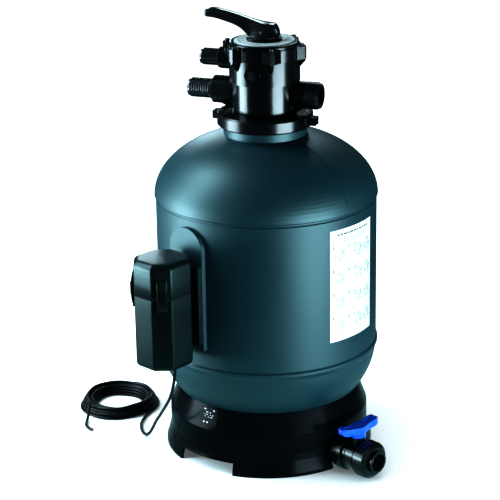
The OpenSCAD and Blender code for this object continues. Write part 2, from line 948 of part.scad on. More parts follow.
tank_shell();
base_stand();
instruction_label();
rating_plate();
sand_bed();
standpipe();
lateral_hub();
laterals();
top_diffuser();
clamp_half_front();
clamp_half_rear();
clamp_bolts();
clamp_nuts();
neck_o_ring();
valve_body();
valve_lid();
position_plate();
lid_screws();
lid_o_ring();
spider_gasket();
rotor();
rotor_spring();
slip_washer();
stem_o_ring();
lever_handle();
lever_pin();
gauge_plug();
pump_hose_tail();
return_hose_tail();
tail_o_rings();
waste_union_nut();
waste_union_end();
waste_o_ring();
drain_bulkhead();
bulkhead_nut();
bulkhead_gasket();
drain_elbow();
drain_pipe();
drain_valve_body();
drain_nut_inner();
drain_nut_outer();
drain_end_inner();
drain_end_outer();
drain_o_rings();
drain_ball();
ball_seats();
drain_handle();
wall_bracket();
bracket_screws();
control_box();
control_box_hood();
hood_seal();
latch_front();
latch_left();
circuit_board();
transformer();
cable_gland();
supply_cord();
cord_coil();
cord_tail();
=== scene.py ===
import json
import math
import random
import bpy
import bmesh
from mathutils import Matrix, Vector


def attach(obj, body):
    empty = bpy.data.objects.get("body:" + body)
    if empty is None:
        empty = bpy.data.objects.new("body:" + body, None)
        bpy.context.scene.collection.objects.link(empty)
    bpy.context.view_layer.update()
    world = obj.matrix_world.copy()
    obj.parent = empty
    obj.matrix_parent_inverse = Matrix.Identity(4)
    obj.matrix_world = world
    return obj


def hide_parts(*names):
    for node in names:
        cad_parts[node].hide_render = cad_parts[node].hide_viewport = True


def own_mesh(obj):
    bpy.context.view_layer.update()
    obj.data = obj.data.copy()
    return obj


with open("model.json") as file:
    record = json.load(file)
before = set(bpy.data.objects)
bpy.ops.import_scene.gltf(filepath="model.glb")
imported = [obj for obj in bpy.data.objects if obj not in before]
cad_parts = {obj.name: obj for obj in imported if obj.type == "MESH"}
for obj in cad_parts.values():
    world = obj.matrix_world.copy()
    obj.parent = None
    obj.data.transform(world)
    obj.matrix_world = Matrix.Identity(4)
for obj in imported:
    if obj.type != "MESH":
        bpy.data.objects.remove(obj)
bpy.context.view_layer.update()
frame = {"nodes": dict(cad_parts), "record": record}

nodes = frame["nodes"]
scene = bpy.context.scene
MM = 0.001
UP = Vector((0, 0, 1))
rng = random.Random(7)

# ---------------------------------------------------------------- camera

CAMERA_AT = (1.3691, -3.8744, 1.876)
CAMERA_HEADING = 20.0
CAMERA_TILT = 71.0
CAMERA_ROLL = -0.9

camera_data = bpy.data.cameras.new("camera")
camera_data.sensor_width = 36.0
camera_data.lens = 136.8
camera_data.clip_end = 60.0
camera = bpy.data.objects.new("camera", camera_data)
scene.collection.objects.link(camera)
camera.matrix_world = (
    Matrix.Translation(CAMERA_AT)
    @ Matrix.Rotation(math.radians(CAMERA_HEADING), 4, "Z")
    @ Matrix.Rotation(math.radians(CAMERA_TILT), 4, "X")
    @ Matrix.Rotation(math.radians(CAMERA_ROLL), 4, "Z")
)
scene.camera = camera


# ---------------------------------------------------------------- small helpers

def mm(*p):
    """A point given in millimetres."""
    return Vector([v * MM for v in p])


def around(phi, r, z):
    """Point at angle phi from -Y towards +X, radius r and height z, in millimetres."""
    a = math.radians(phi)
    return Vector((r * math.sin(a), -r * math.cos(a), z)) * MM


def spin(degrees, axis="Z"):
    return Matrix.Rotation(math.radians(degrees), 4, axis)


def shift(x, y, z):
    """Move by millimetres."""
    return Matrix.Translation(mm(x, y, z))


def finish_bm(bm, name, angle):
    """Smooth object from bm, with edges sharper than angle kept sharp."""
    mesh = bpy.data.meshes.new(name)
    bmesh.ops.recalc_face_normals(bm, faces=bm.faces)
    bm.to_mesh(mesh)
    bm.free()
    obj = bpy.data.objects.new(name, mesh)
    scene.collection.objects.link(obj)
    for f in mesh.polygons:
        f.use_smooth = True
    mesh.set_sharp_from_angle(angle=math.radians(angle))
    return obj


def catmull(p, n):
    """Points on a smooth curve through p, n to a span."""
    out = []
    for i in range(len(p) - 1):
        a, b, c, d = p[max(i - 1, 0)], p[i], p[i + 1], p[min(i + 2, len(p) - 1)]
        for j in range(n):
            t = j / n
            out.append(0.5 * (2 * b + (c - a) * t + (2 * a - 5 * b + 4 * c - d) * t * t
                              + (3 * b - a - 3 * c + d) * t ** 3))
    out.append(p[-1])
    return out


def lathe(bm, profile, steps):
    """Closed outline of (radius, height) in mm turned round the valve axis."""
    rings = []
    for i in range(steps):
        a = math.radians(360.0 * i / steps)
        rings.append([bm.verts.new(mm(r * math.cos(a), r * math.sin(a), z)) for r, z in profile])
    n = len(profile)
    for i in range(steps):
        a, b = rings[i], rings[(i + 1) % steps]
        for k in range(n):
            m = (k + 1) % n
            bm.faces.new((a[k], b[k], b[m], a[m]))


# ---------------------------------------------------------------- materials

GRAIN_DEPTH = 0.0006
# band of the cloud noise over which colour and gloss change
CLOUD_LOW, CLOUD_HIGH = 0.3, 0.7


def material(name, color, rough, bump, scale, vary=0.15, vary_scale=6.0, metal=0.0, coat=0.0,
             rough_vary=0.08, stretch=None, spec=0.5, tint=(1, 1, 1)):
    """Moulded or rolled finish: colour cloud, uneven gloss and a fine grain that catches light."""
    m = bpy.data.materials.new(name)
    m.use_nodes = True
    nt = m.node_tree
    nt.nodes.clear()
    out = nt.nodes.new("ShaderNodeOutputMaterial")
    bsdf = nt.nodes.new("ShaderNodeBsdfPrincipled")
    nt.links.new(bsdf.outputs[0], out.inputs[0])
    bsdf.inputs["Metallic"].default_value = metal
    bsdf.inputs["Specular IOR Level"].default_value = spec
    bsdf.inputs["Specular Tint"].default_value = (*tint, 1)
    bsdf.inputs["Coat Weight"].default_value = coat
    bsdf.inputs["Coat Roughness"].default_value = 0.08
    coord = nt.nodes.new("ShaderNodeTexCoord")
    mapping = nt.nodes.new("ShaderNodeMapping")
    nt.links.new(coord.outputs["Object"], mapping.inputs[0])
    if stretch:
        mapping.inputs["Scale"].default_value = stretch
    cloud = nt.nodes.new("ShaderNodeTexNoise")
    cloud.inputs["Scale"].default_value = vary_scale
    cloud.inputs["Detail"].default_value = 5.0
    nt.links.new(mapping.outputs[0], cloud.inputs["Vector"])
    ramp = nt.nodes.new("ShaderNodeValToRGB")
    ramp.color_ramp.elements[0].position = CLOUD_LOW
    ramp.color_ramp.elements[1].position = CLOUD_HIGH
    lo = [c * (1 - vary) for c in color]
    hi = [min(1, c * (1 + vary) + 0.004 * vary) for c in color]
    ramp.color_ramp.elements[0].color = (*lo, 1)
    ramp.color_ramp.elements[1].color = (*hi, 1)
    nt.links.new(cloud.outputs["Fac"], ramp.inputs[0])
    nt.links.new(ramp.outputs[0], bsdf.inputs["Base Color"])
    grain = nt.nodes.new("ShaderNodeTexNoise")
    grain.inputs["Scale"].default_value = scale
    grain.inputs["Detail"].default_value = 4.0
    nt.links.new(mapping.outputs[0], grain.inputs["Vector"])
    gloss = nt.nodes.new("ShaderNodeMapRange")
    gloss.inputs["From Min"].default_value = CLOUD_LOW
    gloss.inputs["From Max"].default_value = CLOUD_HIGH
    gloss.inputs["To Min"].default_value = max(0.02, rough - rough_vary)
    gloss.inputs["To Max"].default_value = min(1.0, rough + rough_vary)
    nt.links.new(cloud.outputs["Fac"], gloss.inputs[0])
    nt.links.new(gloss.outputs[0], bsdf.inputs["Roughness"])
    relief = nt.nodes.new("ShaderNodeBump")
    relief.inputs["Strength"].default_value = bump
    relief.inputs["Distance"].default_value = GRAIN_DEPTH
    nt.links.new(grain.outputs["Fac"], relief.inputs["Height"])
    nt.links.new(relief.outputs[0], bsdf.inputs["Normal"])
    return m


TANK = material("tank_skin", (0.005, 0.026, 0.034), 0.46, bump=0.18, scale=900, vary=0.10,
                vary_scale=3.5, rough_vary=0.05, spec=0.66, tint=(0.66, 0.98, 1.0))
GLOSS = material("black_gloss", (0.003, 0.004, 0.0045), 0.22, bump=0.06, scale=500, vary=0.25,
                 vary_scale=9, rough_vary=0.05, spec=0.28)
BASE = material("base_black", (0.003, 0.004, 0.0045), 0.22, bump=0.10, scale=350, vary=0.25,
                vary_scale=7, rough_vary=0.05, spec=0.025)
SATIN = material("black_satin", (0.004, 0.006, 0.006), 0.38, bump=0.22, scale=1100, vary=0.2,
                 vary_scale=8, rough_vary=0.06, spec=0.24, tint=(0.6, 1.0, 1.0))
RUBBER = material("rubber", (0.012, 0.012, 0.012), 0.65, bump=0.2, scale=700)
CORD = material("cord_sheath", (0.003, 0.0035, 0.004), 0.46, bump=0.25, scale=900, vary=0.3,
                vary_scale=30, spec=0.22)
BLUE = material("blue_handle", (0.003, 0.085, 0.72), 0.20, bump=0.06, scale=600, vary=0.18,
                vary_scale=18, coat=0.6)
PALE = material("pale_plate", (0.62, 0.66, 0.64), 0.35, bump=0.05, scale=600, vary=0.05)
LABEL = material("label_film", (0.72, 0.76, 0.72), 0.38, bump=0.04, scale=300, vary=0.03,
                 vary_scale=12)
INK = material("label_ink", (0.012, 0.02, 0.018), 0.5, bump=0.05, scale=400, vary=0.1)
DARK_STEEL = material("blackened_steel", (0.02, 0.021, 0.022), 0.32, bump=0.15, scale=600,
                      metal=0.6, vary=0.2, vary_scale=40)
LEVER_BLACK = material("lever_black", (0.003, 0.004, 0.0045), 0.20, bump=0.05, scale=500, vary=0.25,
                       vary_scale=9, rough_vary=0.04, spec=0.75)
TAIL = material("tail_black", (0.004, 0.006, 0.0065), 0.26, bump=0.10, scale=500, vary=0.25,
                vary_scale=14, rough_vary=0.05, spec=0.9)
FAINT = material("label_faint", (0.16, 0.2, 0.19), 0.5, bump=0.05, scale=400, vary=0.1)
PLATE = material("plate_black", (0.003, 0.0035, 0.004), 0.4, bump=0.06, scale=500, spec=0.05)
PRINT = material("plate_print", (0.75, 0.8, 0.8), 0.4, bump=0.04, scale=400, vary=0.08)
HOOD = material("hood_satin", (0.004, 0.006, 0.006), 0.33, bump=0.18, scale=1100, vary=0.2,
                vary_scale=8, rough_vary=0.06, spec=0.3, tint=(0.6, 1.0, 1.0))
STEEL = material("zinc_steel", (0.55, 0.56, 0.58), 0.3, bump=0.15, scale=600, metal=1.0,
                 vary=0.12, vary_scale=40)
INNER = material("natural_moulding", (0.45, 0.46, 0.44), 0.45, bump=0.1, scale=500)
SEAT = material("seat_moulding", (0.7, 0.7, 0.66), 0.4, bump=0.1, scale=500)
SAND = material("sand", (0.55, 0.45, 0.28), 0.9, bump=0.8, scale=700, vary=0.35, vary_scale=400)
BOARD = material("board", (0.01, 0.12, 0.05), 0.35, bump=0.1, scale=500)
CORE = material("laminated_core", (0.12, 0.09, 0.07), 0.45, bump=0.4, scale=200,
                stretch=(1, 1, 30))

by_slot = {
    "tank_plastic": TANK, "black_gloss": GLOSS, "black_satin": SATIN, "rubber_black": RUBBER,
    "cord_rubber": CORD, "blue_plastic": BLUE, "pale_plate": PALE, "label_film": LABEL,
    "steel": STEEL, "inner_plastic": INNER, "seat_plastic": SEAT, "sand": SAND,
    "board": BOARD, "core": CORE,
}
slot_of = {s["node"]: s["material_slot"] for s in frame["record"]["subparts"]}


def paint(obj, mat):
    obj.data.materials.clear()
    obj.data.materials.append(mat)


for name, obj in nodes.items():
    paint(obj, by_slot[slot_of[name]])
for name in ("clamp_bolts", "clamp_nuts", "bracket_screws", "lid_screws"):
    paint(nodes[name], DARK_STEEL)
paint(nodes["base_stand"], BASE)
for name in ("pump_hose_tail", "return_hose_tail", "waste_union_nut", "gauge_plug"):
    paint(nodes[name], TAIL)
paint(nodes["slip_washer"], RUBBER)


def stand_for(obj, mats, node, body="tank"):
    """obj is the detailed form of one CAD node; its faces' material numbers are kept."""
    for mat in mats:
        obj.data.materials.append(mat)
    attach(obj, body)
    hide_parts(node)


# ---------------------------------------------------------------- shapes for detailed pieces

def loft(bm, rings):
    """Skin between rings of equal count; the first and last ring are closed with a fan."""
    rows = [[bm.verts.new(p) for p in ring] for ring in rings]
    n = len(rows[0])
    for r0, r1 in zip(rows, rows[1:]):
        for k in range(n):
            m = (k + 1) % n
            bm.faces.new((r0[k], r0[m], r1[m], r1[k]))
    for row in (rows[0], rows[-1]):
        mid = bm.verts.new(sum((v.co for v in row), Vector()) / n)
        for k in range(n):
            bm.faces.new((row[k], row[(k + 1) % n], mid))


def block(bm, size, matrix, mat=0):
    """Box of the given size in mm, centred on the matrix."""
    made = bmesh.ops.create_cube(bm, size=1.0)["verts"]
    scale = Matrix.Diagonal((size[0] * MM, size[1] * MM, size[2] * MM, 1))
    bmesh.ops.transform(bm, matrix=matrix @ scale, verts=made)
    for f in {f for v in made for f in v.link_faces}:
        f.material_index = mat


# ---------------------------------------------------------------- lever

FOOT_Z = 958.6
# distance from the valve axis, underside, top, half width at the foot, half width on top
LEVER = [
    (-138.2, 1000.5, 1008.0, 6.0, 5.0), (-137, 998.0, 1012.0, 8.5, 6.5),
    (-133, 996.4, 1015.0, 9.5, 7.5), (-122, 996.0, 1016.6, 10.5, 8.0),
    (-112, 995.0, 1016.5, 11.0, 8.0), (-100, 992.6, 1014.6, 11.5, 8.0),
    (-88, 989.4, 1012.2, 12.0, 8.0), (-76, 986.3, 1009.9, 12.5, 8.0),
    (-66, 983.3, 1007.5, 13.0, 8.2), (-56, 979.3, 1004.9, 14.5, 8.5),
    (-48, 974.8, 1002.5, 17.0, 8.8), (-40, 969.6, 1000.2, 20.5, 9.2),
    (-33, 964.4, 998.1, 25.0, 10.0), (-27.5, 960.0, 996.5, 28.5, 11.0),
    (-22, FOOT_Z, 995.2, 30.5, 12.0), (-12, FOOT_Z, 992.5, 33.0, 14.0),
    (-2, FOOT_Z, 990.3, 34.3, 15.5), (8, FOOT_Z, 989.5, 34.2, 16.0),
    (17, FOOT_Z, 989.4, 32.0, 15.5), (25, FOOT_Z, 988.2, 27.0, 13.0),
    (29.5, FOOT_Z, 983.0, 22.5, 11.0), (33.5, FOOT_Z, 975.5, 16.0, 9.0),
    (35.6, 960.2, 970.5, 10.0, 6.0),
]


def lever_ring(x, low, top, wide, narrow):
    """Cross-section of the lever: crowned top, hollow flanks and a flat foot."""
    h = top - low
    half = [
        (0.0, top), (0.6 * narrow, top - 0.01 * h), (0.95 * narrow, top - 0.025 * h),
        (narrow + 0.01 * wide, top - 0.10 * h),
        (narrow + 0.10 * (wide - narrow), low + 0.66 * h),
        (narrow + 0.30 * (wide - narrow), low + 0.40 * h),
        (narrow + 0.78 * (wide - narrow), low + 0.17 * h), (wide, low + 0.06 * h),
        (0.96 * wide, low), (0.45 * wide, low - 0.001 * h), (0.0, low),
    ]
    other = [(-y, z) for y, z in half[-2:0:-1]]
    return [mm(x, y, z) for y, z in half + other]


bm = bmesh.new()
loft(bm, [lever_ring(*station) for station in LEVER])
lever = finish_bm(bm, "lever_arm", angle=180)
smoothing = lever.modifiers.new("smooth", "SUBSURF")
smoothing.levels = 2
smoothing.render_levels = 2
stand_for(lever, [LEVER_BLACK], "lever_handle", "lever")

# ---------------------------------------------------------------- control box and hood

BOX = spin(-24) @ shift(0, -330, 0)
# half distances between opposite faces: across, front to back, on the diagonals
BOX_SIDES = (58.0, 60.0, 61.5)
BOX_LOW = 285.0
SEAM = 450.0
HOOD_TOP = 531.0
WALL = 3.2
CATCH_PIN_Z = SEAM - 22
CATCH_PIN_Y = -64.0
CATCH_PIN_R = 1.6
CORNER_STEPS = 4


def outline(inset, corner, z):
    """Eight-sided plan of the box with rounded corners, drawn inwards by inset."""
    a, b, c = (v - inset for v in BOX_SIDES)
    e = c * math.sqrt(2)
    pts = [(a, e - a), (e - b, b), (b - e, b), (-a, e - a), (-a, a - e), (b - e, -b),
           (e - b, -b), (a, a - e)]
    out = []
    t = corner * math.tan(math.radians(22.5))
    for i, p in enumerate(pts):
        p = Vector(p)
        back = (Vector(pts[i - 1]) - p).normalized()
        ahead = (Vector(pts[(i + 1) % 8]) - p).normalized()
        for j in range(CORNER_STEPS + 1):
            u = j / CORNER_STEPS
            q = (p + back * t) * (1 - u) ** 2 + p * 2 * u * (1 - u) + (p + ahead * t) * u * u
            out.append(BOX @ mm(q.x, q.y, z))
    return out


def quarter(r, z_from, z_to, n):
    """Insets and heights round a rim of radius r."""
    up = 1 if z_to > z_from else -1
    return [(r * (1 - math.cos(math.pi / 2 * i / n)), z_from + up * r * math.sin(math.pi / 2 * i / n))
            for i in range(1, n + 1)]


def moulding(bm, profile):
    """Hollow moulding whose profile lists inset, corner radius and height, inside to outside."""
    loft(bm, [outline(*ring) for ring in profile])


def catch_ears(bm, turn):
    """Pair of ears that hold one catch's cross pin."""
    for x in (-13.25, 13.25):
        block(bm, (3.5, 5.4, 10), BOX @ spin(turn) @ shift(x, -63.2, CATCH_PIN_Z))


bm = bmesh.new()
inside = [(12, 4, BOX_LOW + WALL), (WALL, 4, BOX_LOW + 12), (WALL, 4, SEAM - 2.4)]
lip = [(2.4, 4, SEAM - 2.3), (2.3, 4, SEAM - 1.0), (0.8, 5, SEAM - 0.9), (0.1, 6, SEAM - 1.6)]
outside = [(0.0, 7, SEAM - 3), (0.0, 8, SEAM - 30), (0.0, 8, SEAM - 90), (0.0, 8, BOX_LOW + 14)]
underside = [(i, 8, z) for i, z in quarter(13, BOX_LOW + 13, BOX_LOW, 6)] + [(22, 8, BOX_LOW)]
moulding(bm, inside + lip + outside + underside)
for turn in (-45, 45):
    catch_ears(bm, turn)
box_body = finish_bm(bm, "box_body", angle=40)
stand_for(box_body, [SATIN], "control_box")

bm = bmesh.new()
inside = [(22, 4, HOOD_TOP - 4), (12, 4, HOOD_TOP - 5), (WALL, 4, HOOD_TOP - 15)]
lip = [(3.0, 4, SEAM + 1.2), (2.6, 4, SEAM + 0.6), (0.6, 6, SEAM + 0.6), (0.0, 7, SEAM + 1.6)]
outside = [(0.0, 8, SEAM + 30), (0.0, 8, HOOD_TOP - 14)]
crown = [(i, 8, z - 0.6) for i, z in quarter(14, HOOD_TOP - 14, HOOD_TOP, 7)]
crown += [(20, 9, HOOD_TOP - 0.3), (32, 9, HOOD_TOP - 0.05), (44, 8, HOOD_TOP)]
moulding(bm, inside + lip + outside + crown)
hood = finish_bm(bm, "box_hood", angle=40)
stand_for(hood, [HOOD], "control_box_hood", "hood")


def catch(name, turn, node, body):
    """Curved over-centre catch with a raised grip and a cross pin."""
    at = BOX @ spin(turn)
    face = -62.4
    outer = [(0.2, 4), (2.4, -0.4), (4.6, 1.6), (6.0, 10), (7.1, 22), (7.5, 34), (6.9, 46),
             (5.4, 57), (3.2, 66), (1.4, 71.2)]
    inner = [(0.2, z) for z in (70, 58, 46, 34, 22, 12)]
    half = [(3, 1.02), (8.5, 1.0), (10.3, 0.95), (11, 0.80)]
    stations = [(-x, swell) for x, swell in reversed(half)] + half
    bm = bmesh.new()
    loft(bm, [[at @ mm(x, face - y * swell, CATCH_PIN_Z + z) for y, z in outer + inner]
              for x, swell in stations])
    for x in (-3.6, 3.6):
        block(bm, (1.6, 2.4, 26), at @ shift(x, face - 7.0, CATCH_PIN_Z + 34))
    pin = bmesh.ops.create_cone(bm, cap_ends=True, segments=20, radius1=CATCH_PIN_R * MM,
                                radius2=CATCH_PIN_R * MM, depth=31 * MM)["verts"]
    bmesh.ops.transform(bm, verts=pin, matrix=at @ shift(0, CATCH_PIN_Y, CATCH_PIN_Z)
                        @ spin(90, "Y"))
    stand_for(finish_bm(bm, name, angle=40), [SATIN], node, body)


catch("front_catch", 45, "latch_front", "front_latch")
catch("left_catch", -45, "latch_left", "left_latch")

# ---------------------------------------------------------------- instruction label

LABEL_LEFT = 52.5
LABEL_SPAN = 33.0
LABEL_R = 250.7
LABEL_LOW, LABEL_TOP = 313.0, 572.0
FILM_STEPS = 24
RULE_STEPS = 12
INK_LIFT = 0.75
RULE_LIFT = 0.72
MARGIN = 130
# material numbers of the two inks; the film itself is 0
DARK, LIGHT = 1, 2


def on_label(s, z, lift):
    """Point s mm along the label's lower edge, at height z and lifted off the tank."""
    return around(LABEL_LEFT + math.degrees(s / LABEL_R), LABEL_R + lift, z)


def ink_face(bm, pts, ink, lift=INK_LIFT):
    bm.faces.new([bm.verts.new(on_label(s, z, lift)) for s, z in pts]).material_index = ink


def rule(bm, s0, s1, z0, z1):
    """Thin bar that follows the label's curve."""
    for i in range(RULE_STEPS):
        a = s0 + (s1 - s0) * i / RULE_STEPS
        b = s0 + (s1 - s0) * (i + 1) / RULE_STEPS
        ink_face(bm, ((a, z0), (b, z0), (b, z1), (a, z1)), LIGHT, RULE_LIFT)


def stroke(bm, s0, z0, s1, z1, wide, ink=DARK):
    d = Vector((s1 - s0, z1 - z0)).normalized()
    n = Vector((-d.y, d.x)) * wide / 2
    ink_face(bm, [(s0 - n.x, z0 - n.y), (s1 - n.x, z1 - n.y), (s1 + n.x, z1 + n.y),
                  (s0 + n.x, z0 + n.y)], ink)


def hoop(bm, s, z, r, wide, ink, n=28):
    for i in range(n):
        a0, a1 = 2 * math.pi * i / n, 2 * math.pi * (i + 1) / n
        ink_face(bm, [(s + (r + w) * math.cos(a), z + (r + w) * math.sin(a))
                      for w, a in ((0, a0), (wide, a0), (wide, a1), (0, a1))], ink)


def print_line(bm, z, first, last, lengths, gap, wide, ink):
    """One line of print, drawn as bars of uneven length."""
    s = first
    while s < last:
        length = rng.uniform(*lengths)
        stroke(bm, s, z, min(s + length, MARGIN), z, wide, ink)
        s += length + gap


def diagram(bm, s, z, r, row, ink):
    """Round diagram: two hoops, three spokes, four dots round it and two short strokes."""
    hub = 0.45 * r
    hoop(bm, s, z, r, 0.9, ink)
    hoop(bm, s, z, hub, 0.8, ink)
    for spoke in range(3):
        a = math.radians(120 * spoke + 60 * row + 30)
        stroke(bm, s + hub * math.cos(a), z + hub * math.sin(a),
               s + r * math.cos(a), z + r * math.sin(a), 1.1, ink)
    for dot in range(4):
        a = math.radians(90 * dot + 25 * row)
        hoop(bm, s + 1.3 * r * math.cos(a), z + 1.15 * r * math.sin(a), 0.1, 1.3, ink, n=10)
    stroke(bm, s - r - 4, z - 0.2 * r, s - r, z - 0.2 * r, 1.6, ink)
    stroke(bm, s + 0.3 * r, z - 0.5 * r, s + 0.7 * r, z + 0.6 * r, 2.0, ink)


def label_row(bm, row):
    """One row of the label: a tick, short lines of print and three diagrams, under a rule."""
    z = 534 - 55 * row
    stroke(bm, 10, z + 3, 10, z - 4, 2.6)
    stroke(bm, 8.6, z - 4, 11.6, z - 4, 1.2)
    for s in (51, 71, 122):
        for line in (z - 3, z - 6.4):
            stroke(bm, s, line, s + rng.uniform(6, 11), line, 1.5)
    for s, r, ink in ((29, 11.5, LIGHT), (90, 12.5, DARK), (126, 10.0, DARK)):
        diagram(bm, s, z - 20, r, row, ink)
    if row:
        rule(bm, 6, 138, z + 9.3, z + 9.9)


def label_film(bm):
    """Curved slab that carries the print."""
    width = math.radians(LABEL_SPAN) * LABEL_R
    edges = [[on_label(width * i / FILM_STEPS, z, lift) for i in range(FILM_STEPS + 1)]
             for z in (LABEL_LOW, LABEL_TOP) for lift in (0.02, 0.6)]
    inner_low, outer_low, inner_top, outer_top = [[bm.verts.new(p) for p in row] for row in edges]
    for i in range(FILM_STEPS):
        bm.faces.new((outer_low[i], outer_low[i + 1], outer_top[i + 1], outer_top[i]))
        bm.faces.new((inner_low[i + 1], inner_low[i], inner_top[i], inner_top[i + 1]))
        bm.faces.new((inner_low[i], inner_low[i + 1], outer_low[i + 1], outer_low[i]))
        bm.faces.new((outer_top[i], outer_top[i + 1], inner_top[i + 1], inner_top[i]))
    for i in (0, FILM_STEPS):
        bm.faces.new((inner_low[i], outer_low[i], outer_top[i], inner_top[i]))


bm = bmesh.new()
label_film(bm)
print_line(bm, 560, 20, 126, (5, 13), 2.6, 3.4, DARK)
print_line(bm, 549, 26, 118, (3, 9), 1.8, 1.5, LIGHT)
print_line(bm, 543.5, 40, 118, (3, 9), 1.8, 1.5, LIGHT)
for row in range(4):
    label_row(bm, row)
stand_for(finish_bm(bm, "printed_label", angle=30), [LABEL, INK, FAINT], "instruction_label")

# ---------------------------------------------------------------- rating plate on the base

# radius and height of the base's ridge, and the run and rise of the shoulder above it
RIDGE = Vector((227.0, 101.0))
SHOULDER = Vector((-16.0, 43.0)).normalized()
SHOULDER_OUT = Vector((43.0, 16.0)).normalized()
PRINT_LIFT = 0.8


def on_shoulder(phi, t, lift):
    """Point on the sloping shoulder of the base, t from its ridge up to its rim in mm."""
    p = RIDGE + SHOULDER * t + SHOULDER_OUT * lift
    return around(phi, p.x, p.y)


def shoulder_patch(bm, phi0, phi1, t0, t1, lift, mat):
    pts = [(phi0, t0), (phi1, t0), (phi1, t1), (phi0, t1)]
    top = [bm.verts.new(on_shoulder(p, t, lift)) for p, t in pts]
    low = [bm.verts.new(on_shoulder(p, t, 0.0)) for p, t in pts]
    faces = [bm.faces.new(top), bm.faces.new(low[::-1])]
    for i in range(4):
        j = (i + 1) % 4
        faces.append(bm.faces.new((low[i], low[j], top[j], top[i])))
    for f in faces:
        f.material_index = mat


bm = bmesh.new()
for phi in range(-25, -13, 2):
    shoulder_patch(bm, phi, phi + 2, 5.4, 42.4, 0.55, 0)
for phi in (-23.2, -16.4):
    shoulder_patch(bm, phi, phi + 1.0, 37.5, 40.0, PRINT_LIFT, 1)
for phi, t, wide in ((-21.5, 32, 1.6), (-18.6, 32, 0.7), (-22.6, 26.5, 0.6), (-20.9, 27, 1.0),
                     (-18.2, 26.5, 0.5), (-16.6, 27, 0.9), (-21.8, 22, 0.5), (-19.4, 21.5, 0.6),
                     (-17.4, 22, 1.1)):
    shoulder_patch(bm, phi, phi + wide, t, t + 1.3, PRINT_LIFT, 1)
for phi in (-22.2, -19.6):
    shoulder_patch(bm, phi, phi + 0.9, 8.5, 11.5, PRINT_LIFT, 1)
stand_for(finish_bm(bm, "base_plate", angle=30), [PLATE, PRINT], "rating_plate")

# ---------------------------------------------------------------- dial plate

DIAL_LOW, DIAL_TOP = 950.0, 951.5
DIAL_HOLE, DIAL_R = 38.5, 67.0
MARK_THICK = 0.24

bm = bmesh.new()
dial = [(DIAL_HOLE, DIAL_LOW), (DIAL_R, DIAL_LOW)]
dial += [(DIAL_R - inset, DIAL_TOP - drop) for inset, drop in (
    (0.0, 0.4), (0.4, 0.0), (1.6, 0.0), (2.0, 0.3), (2.8, 0.3), (3.2, 0.0))]
dial += [(DIAL_HOLE + inset, DIAL_TOP - drop) for inset, drop in (
    (4.5, 0.0), (4.1, 0.25), (3.1, 0.25), (2.7, 0.0), (0.3, 0.0), (0.0, 0.3))]
lathe(bm, dial, 144)
for position in range(6):
    middle = 60 * position
    for j in range(5):
        odd = j % 2
        at = spin(middle + (j - 2) * 6.2) @ shift(0, 1.5 * odd - 57, DIAL_TOP)
        block(bm, (4.4, 1.6 + 1.2 * odd, MARK_THICK), at, 1)
    block(bm, (1.8, 7.0, MARK_THICK), spin(middle) @ shift(0, -48, DIAL_TOP), 1)
stand_for(finish_bm(bm, "dial_plate", angle=30), [PALE, INK], "position_plate")

# ---------------------------------------------------------------- parting line of the dome

DOME_R, DOME_RISE, DOME_LOW = 253.0, 151.0, 600.0
LINE_STEPS = 40


def dome_point(phi, t, lift):
    """Point on the dome profile; t is the ellipse angle in degrees."""
    a = math.radians(t)
    n = Vector((math.cos(a) / DOME_R, math.sin(a) / DOME_RISE)).normalized()
    return around(phi, DOME_R * math.cos(a) + n.x * lift,
                  DOME_LOW + DOME_RISE * math.sin(a) + n.y * lift)


bm = bmesh.new()
for phi in (64.0, 244.0):
    rows = []
    for i in range(LINE_STEPS + 1):
        t = 6 + 60 * i / LINE_STEPS
        half = 0.16 * (0.4 + 0.6 * math.sin(math.pi * i / LINE_STEPS))
        rows.append([dome_point(phi + half * side, t, lift)
                     for side, lift in ((-1, -0.3), (-0.6, 0.55), (0.6, 0.55), (1, -0.3))])
    loft(bm, rows)
line = finish_bm(bm, "mould_seam", angle=60)
paint(line, TANK)
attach(line, "tank")

# ---------------------------------------------------------------- rotor spring

SPRING_LOW, SPRING_HIGH, SPRING_TURNS = 884.2, 939.8, 6
SPRING_R = 15
WIRE_R = 1.75
WIRE_PITCH = 3.9
CLOSED_TURNS = 0.75
STEPS_A_TURN = 36
WIRE_SIDES = 10


def spring_height(turn):
    """Height of the wire's middle: closed end coils, open ones between."""
    u = min(max((turn - CLOSED_TURNS) / (SPRING_TURNS - 2 * CLOSED_TURNS), 0.0), 1.0)
    closed = WIRE_PITCH * (min(turn, CLOSED_TURNS) + max(turn - SPRING_TURNS + CLOSED_TURNS, 0.0))
    return SPRING_LOW + closed + (SPRING_HIGH - SPRING_LOW - 2 * CLOSED_TURNS * WIRE_PITCH) * u


bm = bmesh.new()
rings = []
for i in range(SPRING_TURNS * STEPS_A_TURN + 1):
    turn = i / STEPS_A_TURN
    a = 2 * math.pi * turn
    out = Vector((math.cos(a), math.sin(a), 0))
    centre = mm(SPRING_R * out.x, SPRING_R * out.y, spring_height(turn))
    rings.append([centre + (out * math.cos(b) + UP * math.sin(b)) * WIRE_R * MM
                  for b in (2 * math.pi * j / WIRE_SIDES for j in range(WIRE_SIDES))])
loft(bm, rings)
spring = finish_bm(bm, "rotor_coil_spring", angle=60)
stand_for(spring, [STEEL], "rotor_spring", "selector")
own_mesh(spring)

# ---------------------------------------------------------------- cord

